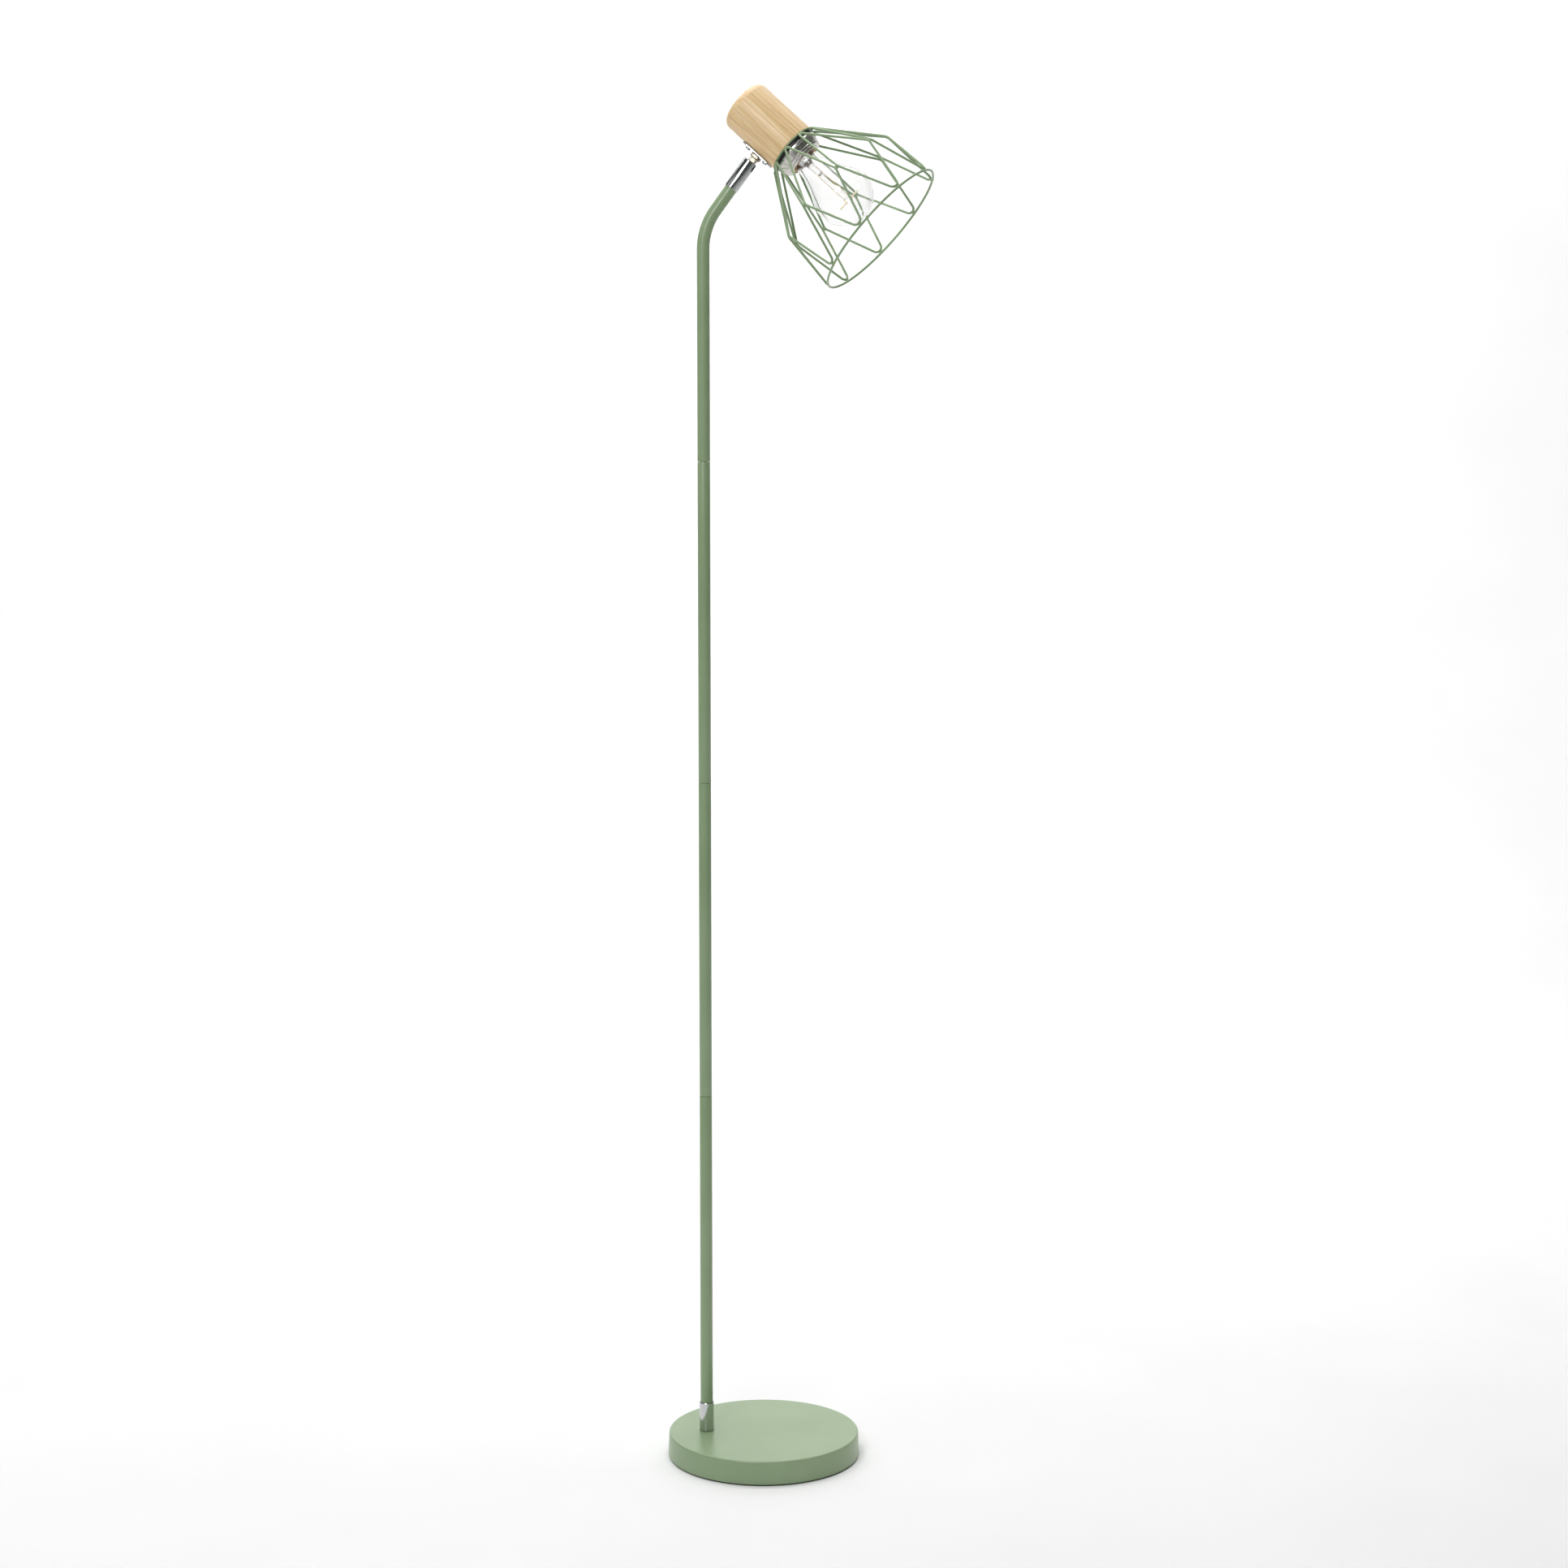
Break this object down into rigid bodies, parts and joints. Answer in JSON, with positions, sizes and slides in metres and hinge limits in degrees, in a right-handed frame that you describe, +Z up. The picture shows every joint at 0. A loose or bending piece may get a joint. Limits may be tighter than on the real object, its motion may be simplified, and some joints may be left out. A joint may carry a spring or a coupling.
{
  "type": "adjustable floor lamp",
  "caption": "Free-standing floor lamp: round weighted base, slim sectional pole with a bent neck, and a wooden lampholder cup with a wire cage on a swivel and tilt knuckle.",
  "frame": {"origin": "centre of the base's underside, on the floor", "axes": "+Z up along the pole, +X from the pole towards the lamp head, +Y towards the cable grommet at the rear of the base"},
  "size_m": [0.2669, 0.205, 1.3918],
  "materials": {
    "rubber": "matt black foam and rubber",
    "sage_paint": "satin sage green powder coat",
    "cement": "rough cast cement",
    "zinc_plate": "zinc plated steel",
    "chrome": "bright chrome plate",
    "oak": "light oak with a satin lacquer, grain along the cup",
    "black_plastic": "black moulded plastic",
    "satin_metal": "satin silver",
    "brass": "plain brass",
    "glass": "clear polished glass",
    "filament": "pale coiled filament"
  },
  "bodies": {
    "stand": {"base_pad": "rubber", "base_shell": "sage_paint", "base_weight": "cement", "cable_grommet": "rubber", "base_stem": "zinc_plate", "stem_washer": "zinc_plate", "stem_nut": "zinc_plate", "foot_ferrule": "chrome", "foot_bush": "zinc_plate", "pole_lower": "sage_paint", "pole_middle": "sage_paint", "pole_upper": "sage_paint", "neck_tube": "sage_paint", "neck_end_bush": "zinc_plate", "joint_bush_lower_1": "zinc_plate", "joint_bush_upper_1": "zinc_plate", "joint_bush_lower_2": "zinc_plate", "joint_bush_upper_2": "zinc_plate", "joint_bush_lower_3": "zinc_plate", "joint_bush_upper_3": "zinc_plate", "joint_stud_1": "zinc_plate", "joint_stud_2": "zinc_plate", "joint_stud_3": "zinc_plate"},
    "swivel": {"swivel_shaft": "zinc_plate", "swivel_washer": "zinc_plate", "swivel_retainer": "zinc_plate", "swivel_sleeve": "chrome", "pivot_pin": "zinc_plate"},
    "head": {"cage_collar": "sage_paint", "cage_ring": "sage_paint", "cage_loop_1": "sage_paint", "cage_loop_2": "sage_paint", "cage_loop_3": "sage_paint", "cage_loop_4": "sage_paint", "cage_loop_5": "sage_paint", "cage_loop_6": "sage_paint", "cage_loop_7": "sage_paint", "cage_loop_8": "sage_paint", "cage_loop_9": "sage_paint", "tilt_knuckle": "zinc_plate", "holder_backplate": "zinc_plate", "holder_nipple": "zinc_plate", "holder_locknut": "zinc_plate", "bulb_contact": "zinc_plate", "mounting_plate": "chrome", "plate_screw_1": "chrome", "plate_screw_2": "chrome", "wood_cup": "oak", "lampholder_body": "black_plastic", "insulating_washer": "black_plastic", "bulb_insulator": "black_plastic", "shade_ring": "satin_metal", "socket_shell": "brass", "socket_contact": "brass", "bulb_cap": "brass", "bulb_glass": "glass", "bulb_stem": "glass", "bulb_filament": "filament"}
  },
  "joints": [
    {"name": "head_swivel", "type": "hinge", "parent": "stand", "child": "swivel", "pos_m": [-0.01608, 0, 1.31199], "axis": [0.5878, 0, 0.809], "range_deg": [-158, 170]},
    {"name": "head_tilt", "type": "hinge", "parent": "swivel", "child": "head", "pos_m": [-0.01608, 0, 1.31199], "axis": [0.1668, 0.9785, -0.1212], "range_deg": [-20, 45]}
  ]
}
